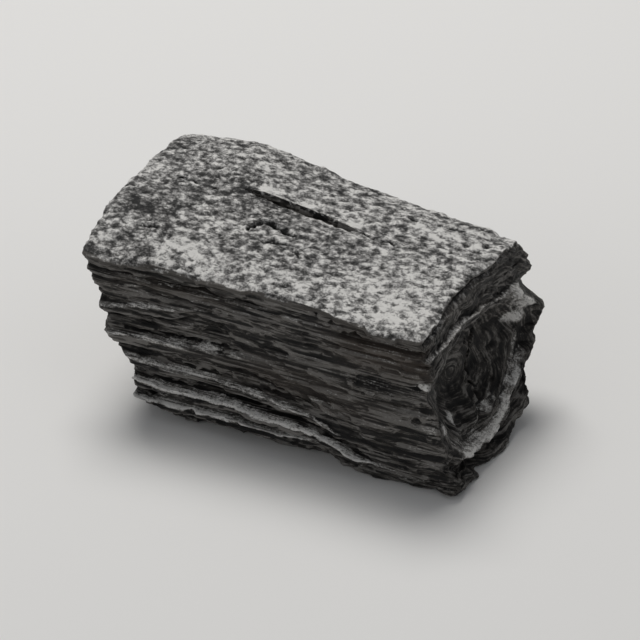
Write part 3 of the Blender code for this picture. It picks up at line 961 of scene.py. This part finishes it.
char = {
    # colours, and where each stands on its ramp from dark to pale
    "woodStops": (
        (0.0, (0.0035, 0.0032, 0.003, 1.0)),
        (0.3, (0.0125, 0.0115, 0.0105, 1.0)),
        (0.5, (0.0305, 0.0277, 0.0246, 1.0)),
        (0.75, (0.08, 0.0738, 0.067, 1.0)),
        (1.0, (0.16, 0.152, 0.142, 1.0)),
    ),
    "ashStops": (  # dust, torn edges, and painted highlights on the ledges and the right end's rims
        (0.0, (0.02, 0.0185, 0.017, 1.0)),
        (0.4, (0.085, 0.08, 0.074, 1.0)),
        (0.7, (0.22, 0.212, 0.2, 1.0)),
        (1.0, (0.62, 0.61, 0.59, 1.0)),
    ),
    "outerStops": (
        (0.0, (0.008, 0.008, 0.008, 1.0)),
        (0.28, (0.045, 0.044, 0.043, 1.0)),
        (0.5, (0.15, 0.147, 0.143, 1.0)),
        (0.72, (0.3, 0.295, 0.288, 1.0)),
        (1.0, (0.62, 0.61, 0.59, 1.0)),
    ),
    "brown": (0.05, 0.036, 0.0265, 1.0),
    "skin": (0.078, 0.071, 0.064, 1.0),  # along the top of the front, where the outer face turns down
    "gloss": 0.2,
    "refraction": 1.6,
    "bumpStrength": 0.9,
    "bumpHeight": 0.45,
    # noise: its size along x, y and z in millimetres, its detail and its roughness
    "noises": {
        "fibres": ((14.0, 0.5, 0.5), 4.0, 0.62),
        "fineFibres": ((5.0, 0.2, 0.2), 3.0, 0.6),
        "bands": ((28.0, 1.4, 1.4), 2.0, 0.55),
        "patches": ((16.0, 12.0, 12.0), 2.0, 0.55),
        "grains": ((2.5, 2.1, 2.1), 5.0, 0.7),
        "specks": ((0.9, 0.75, 0.75), 3.0, 0.7),
        "fineSpecks": ((0.4, 0.34, 0.34), 2.0, 0.6),
    },
    # the short lines on the broken ends: their width, the size over which they bend, and how much they
    # count in place of the fibres and of the bands, with some of the grains
    "endLines": {"width": 0.55, "patch": 7.0, "detail": 3.0, "rough": 0.65},
    "endShares": {"fibres": 0.75, "bands": 0.3, "grains": 0.4},
    # a base, and how much of each noise or of each value of the mesh is added to it: a mix picks the place
    # on a ramp of colours, or how far a colour reaches
    "mixes": {
        # the pits' darkness, here and in the outer face, and the paleness's dark part are painted shade
        "wood": {
            "base": 0.6, "fibres": 2.9, "fineFibres": 0.7, "bands": 4.5, "patches": 0.5,
            "relief": 0.9, "pitted": -0.5, "paintedShade": 0.45, "brokenEnd": -0.1,
        },
        "brownShare": {"base": 0.85, "fibres": 2.0},
        "skinShare": {"skin": 1.0, "specks": 0.8, "fibres": 1.2},
        # the dust here is partly painted light from above, and the paleness partly painted highlight
        "ash": {
            "base": 0.4, "pale": 0.36, "dust": 0.16,
            "specks": 1.3, "fineSpecks": 0.8, "fibres": 1.6, "fineFibres": 0.6,
        },
        "ashShare": {
            "pale": 0.9, "dust": 0.42,
            "specks": 1.1, "fibres": 1.8, "bands": 2.0, "relief": 0.4,
        },
        "outer": {
            "base": 0.57, "bloom": 1.0, "grains": 3.7, "specks": 0.8,
            "fineSpecks": 0.4, "patches": 0.5, "relief": 0.6, "pitted": -0.7,
        },
        "outerShare": {"outerFace": 1.0, "specks": 0.8, "fineSpecks": 0.4},
        "roughness": {"base": 0.5, "fibres": 0.3, "outerFace": 0.2, "dust": 0.15},
        "woodBump": {"fibres": 0.6, "fineFibres": 0.35},
        "outerBump": {"grains": 0.5, "specks": 0.8},
        "outerBumpShare": {"base": 0.2, "outerFace": 0.8},
        "speckBump": {"fineSpecks": 0.25},
    },
    # between which values a mix turns a colour on, and how much of that colour shows at most
    "reach": {"skinShare": (0.25, 0.85), "ashShare": (0.12, 0.95), "outerShare": (0.25, 0.7)},
    "most": {"brown": 0.75, "skin": 0.8},
}

# Values that buildLump gives each point of the mesh.
meshValues = (
    "outerFace", "relief", "pitted", "bloom", "dust",
    "brown", "pale", "skin", "brokenEnd", "ring",
)


def charMaterial():
    material = bpy.data.materials.new("char")
    material.use_nodes = True
    tree = material.node_tree
    shader = tree.nodes["Principled BSDF"]
    start = Wire(tree, None)
    place = start.node("ShaderNodeTexCoord", output=3)

    def stretched(x, y, z):  # object coordinates in millimetres, divided by these sizes
        scale = (1.0 / (x * mm), 1.0 / (y * mm), 1.0 / (z * mm))
        return start.node("ShaderNodeVectorMath", {"operation": "MULTIPLY"}, {0: place, 1: scale})

    def noiseOf(vector, detail, rough):
        inputs = {"Vector": vector, "Scale": 1.0, "Detail": detail, "Roughness": rough}
        return start.node("ShaderNodeTexNoise", inputs=inputs) - 0.5

    def ramp(value, stops):
        return start.node("ShaderNodeValToRGB", {"stops": stops}, {0: value.clamped()})

    layers = {}
    for name in meshValues:
        layers[name] = start.node("ShaderNodeAttribute", {"attribute_name": name}, output=2)
    for name, (sizes, detail, rough) in char["noises"].items():
        layers[name] = noiseOf(stretched(*sizes), detail, rough)
    # the dark part of the paleness, which is painted shade
    layers["paintedShade"] = layers["pale"].maths("MINIMUM", 0.0)

    # a broken end has no long fibres: its lines run round it, and are short
    endLook, endShares = char["endLines"], char["endShares"]
    patch = endLook["patch"]
    around = layers["ring"] * (1.0 / endLook["width"])
    around = start.node("ShaderNodeCombineXYZ", inputs={0: around, 1: 0.0, 2: 0.0})
    inputs = {0: around, 1: stretched(patch, patch, patch)}
    around = start.node("ShaderNodeVectorMath", {"operation": "ADD"}, inputs)
    aroundLines = noiseOf(around, endLook["detail"], endLook["rough"])
    fibres, bands, endness = layers["fibres"], layers["bands"], layers["brokenEnd"]
    layers["fibres"] = fibres + (aroundLines * endShares["fibres"] - fibres) * endness
    endBands = aroundLines * endShares["bands"] + layers["grains"] * endShares["grains"]
    layers["bands"] = bands + (endBands - bands) * endness

    def mixed(name):
        total = char["mixes"][name].get("base", 0.0)
        for layer, weight in char["mixes"][name].items():
            if layer != "base":
                total = total + layers[layer] * weight
        return total

    def reach(name):
        return mixed(name).between(*char["reach"][name])

    colour = ramp(mixed("wood"), char["woodStops"])
    brownShare = (layers["brown"] * mixed("brownShare")).clamped() * char["most"]["brown"]
    colour = colour.mixed(brownShare, char["brown"])
    colour = colour.mixed(reach("skinShare") * char["most"]["skin"], char["skin"])
    colour = colour.mixed(reach("ashShare"), ramp(mixed("ash"), char["ashStops"]))
    colour = colour.mixed(reach("outerShare"), ramp(mixed("outer"), char["outerStops"]))
    tree.links.new(colour.socket, shader.inputs["Base Color"])

    tree.links.new(mixed("roughness").clamped().socket, shader.inputs["Roughness"])
    shader.inputs["IOR"].default_value = char["refraction"]
    shader.inputs["Specular IOR Level"].default_value = char["gloss"]

    bumpHeight = mixed("woodBump") * (1.0 - layers["outerFace"])
    bumpHeight = bumpHeight + mixed("outerBump") * mixed("outerBumpShare") + mixed("speckBump")
    inputs = {"Strength": char["bumpStrength"], "Distance": char["bumpHeight"] * mm, "Height": bumpHeight}
    bump = start.node("ShaderNodeBump", inputs=inputs)
    tree.links.new(bump.socket, shader.inputs["Normal"])
    return material


# How the mesh's values are read from the shape. A pair is where a value begins and where it is full.
reading = {
    "topDepths": (3.0, 0.6),
    "topSlopes": (0.2, 0.7),
    "skinDepths": (2.7, 0.7),
    "sideRounds": 2,  # how many times a side's edge is averaged
    "frontRounds": 1,
    "slitRounds": 12,
    "slitDepths": (0.5, 1.5),
    "slitCalm": 0.85,  # how much less fine relief there is in a slit
    "flatFoot": (0.0, 0.4),  # the fine relief ends where the lump touches the floor
    "nearRounds": 5,
    "broadRounds": 40,
    "pitDepths": (0.3, 1.3),
    "dustAndLightSlopes": (0.3, 0.85),
    "grainBloom": 0.12,
}


def buildLump():
    places, quads = surfaceLattice()
    points = lumpPoints(places)
    print("block form", len(points), "points,", 2 * len(quads), "triangles")

    def sideOf(where, rounds):
        return averaged(where.astype(float), quads, rounds)

    def outOf(base, surfaceNormals):  # how far the points stand out of a base
        return np.einsum("ij,ij->i", points - base, surfaceNormals)

    along, across, down = places.T
    formX, formY = points[:, 0], points[:, 1]
    normals = normalsOf(points, quads)
    level = down * block["height"]
    topness = smooth(*reading["topDepths"], level) * smooth(*reading["topSlopes"], normals[:, 2])
    topness = averaged(topness, quads, reading["sideRounds"])
    onRight = sideOf(along == 1.0, reading["sideRounds"])
    onEnds = sideOf((along == 0.0) | (along == 1.0), reading["sideRounds"]) * (1.0 - topness)
    onFront = sideOf(across == 0.0, reading["frontRounds"])
    formDepth = sagged(along, across, level)
    # paleness of torn and chipped edges, with painted highlight and painted shade
    pale = paleAndPaintedLightOf(formX, formY, level, formDepth, onRight, onFront)
    ring = ringsAt(points, level, onRight)
    relief, grain = fineRelief(points, ring, topness, onEnds)
    values = {
        "outerFace": topness,
        "bloom": swellsAt(formX, formY, bloomSpots) + reading["grainBloom"] * (grain - 0.5),
        "brown": swellsAt(formX, formDepth, brownSpots) * onFront,
        "pale": averaged(pale, quads, 1),
        "skin": smooth(*reading["skinDepths"], level) * onFront,
        "brokenEnd": onEnds,
        "ring": ring,
    }

    inSlit = -outOf(averaged(points, quads, reading["slitRounds"]), normals)
    relief = relief * (1.0 - reading["slitCalm"] * smooth(*reading["slitDepths"], inSlit))
    flatFoot = smooth(*reading["flatFoot"], points[:, 2])
    points = points + normals * (relief * flatFoot)[:, None]

    # how far each point stands out of the surface near it, and how deep it lies in a crack or a pit
    values["relief"] = outOf(averaged(points, quads, reading["nearRounds"]), normals)
    sunk = -outOf(averaged(points, quads, reading["broadRounds"]), normals)
    # deep places in cracks and pits are darkened: painted shade
    values["pitted"] = smooth(*reading["pitDepths"], sunk)
    # upward-facing sides other than the top are paler: dust, and painted light from above
    facing = normalsOf(points, quads)[:, 2]
    values["dust"] = averaged(smooth(*reading["dustAndLightSlopes"], facing), quads, 1) * (1.0 - topness)
    points[:, 2] = np.maximum(points[:, 2], 0.0)

    points = points + np.array(block["place"])
    print("lump from", points.min(0).round(1), "to", points.max(0).round(1), "mm")

    lump = addMesh("charcoalLump", points * mm, quads, charMaterial())
    for name in meshValues:
        addValues(lump.data, name, values[name])
    lump.data.shade_smooth()
    lump.data.set_sharp_from_angle(angle=math.radians(50.0))
    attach(lump, "root")
    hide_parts("charcoal_lump")


buildLump()
print("lump dressed")


studio = {
    "floorColour": (0.74, 0.735, 0.725, 1.0),
    "floorSize": 6.0,
    "skyStrength": 0.24,
    "skyColour": (0.95, 0.97, 1.0, 1.0),
    "floorRoughness": 0.9,
    "lampTarget": (0.0, 0.0, 0.02),
}

# Each lamp: where it hangs, its width and height, its power and its colour. All of them face the lump.
lamps = {
    "overhead": ((-0.4, 0.45, 1.25), 0.7, 0.7, 14.0, (1.0, 0.985, 0.96)),
    "frontFill": ((-0.6, -1.3, 0.7), 1.2, 0.8, 2.0, (1.0, 1.0, 1.0)),
    "rightFill": ((1.3, -0.3, 0.6), 0.8, 0.8, 0.6, (0.97, 0.98, 1.0)),
}


def pointAt(piece, place, target):
    piece.location = place
    piece.rotation_euler = (Vector(target) - Vector(place)).to_track_quat("-Z", "Y").to_euler()


def buildStudio():
    material = bpy.data.materials.new("paleFloor")
    material.use_nodes = True
    shader = material.node_tree.nodes["Principled BSDF"]
    shader.inputs["Base Color"].default_value = studio["floorColour"]
    shader.inputs["Roughness"].default_value = studio["floorRoughness"]
    half = studio["floorSize"] / 2.0
    corners = np.array([(-half, -half, 0.0), (half, -half, 0.0), (half, half, 0.0), (-half, half, 0.0)])
    floor = addMesh("paleFloor", corners, np.array([[0, 1, 2, 3]]), material)

    for name, (place, width, height, power, colour) in lamps.items():
        light = bpy.data.lights.new(name, "AREA")
        light.shape = "RECTANGLE"
        light.size, light.size_y = width, height
        light.energy, light.color = power, colour
        lamp = bpy.data.objects.new(name, light)
        bpy.context.scene.collection.objects.link(lamp)
        pointAt(lamp, place, studio["lampTarget"])

    world = bpy.data.worlds.new("softSky")
    world.use_nodes = True
    sky = world.node_tree.nodes["Background"]
    sky.inputs["Color"].default_value = studio["skyColour"]
    sky.inputs["Strength"].default_value = studio["skyStrength"]
    bpy.context.scene.world = world
    bpy.context.scene.view_settings.view_transform = "Standard"


view = {
    "azimuth": 26.2,
    "elevation": 31.8,
    "distance": 1.9,
    "shownWidth": 0.158,  # how much the frame shows, across, at the lump
    "target": (0.0, 0.0, 0.021),
    "sensorWidth": 36.0,
}


def buildCamera():
    azimuth, elevation = math.radians(view["azimuth"]), math.radians(view["elevation"])
    away = Vector((
        math.sin(azimuth) * math.cos(elevation),
        -math.cos(azimuth) * math.cos(elevation),
        math.sin(elevation),
    ))
    data = bpy.data.cameras.new("camera")
    data.sensor_width = view["sensorWidth"]
    data.lens = data.sensor_width * view["distance"] / view["shownWidth"]
    camera = bpy.data.objects.new("camera", data)
    bpy.context.scene.collection.objects.link(camera)
    pointAt(camera, Vector(view["target"]) + away * view["distance"], view["target"])
    bpy.context.scene.camera = camera


buildStudio()
buildCamera()
print("studio and camera set")
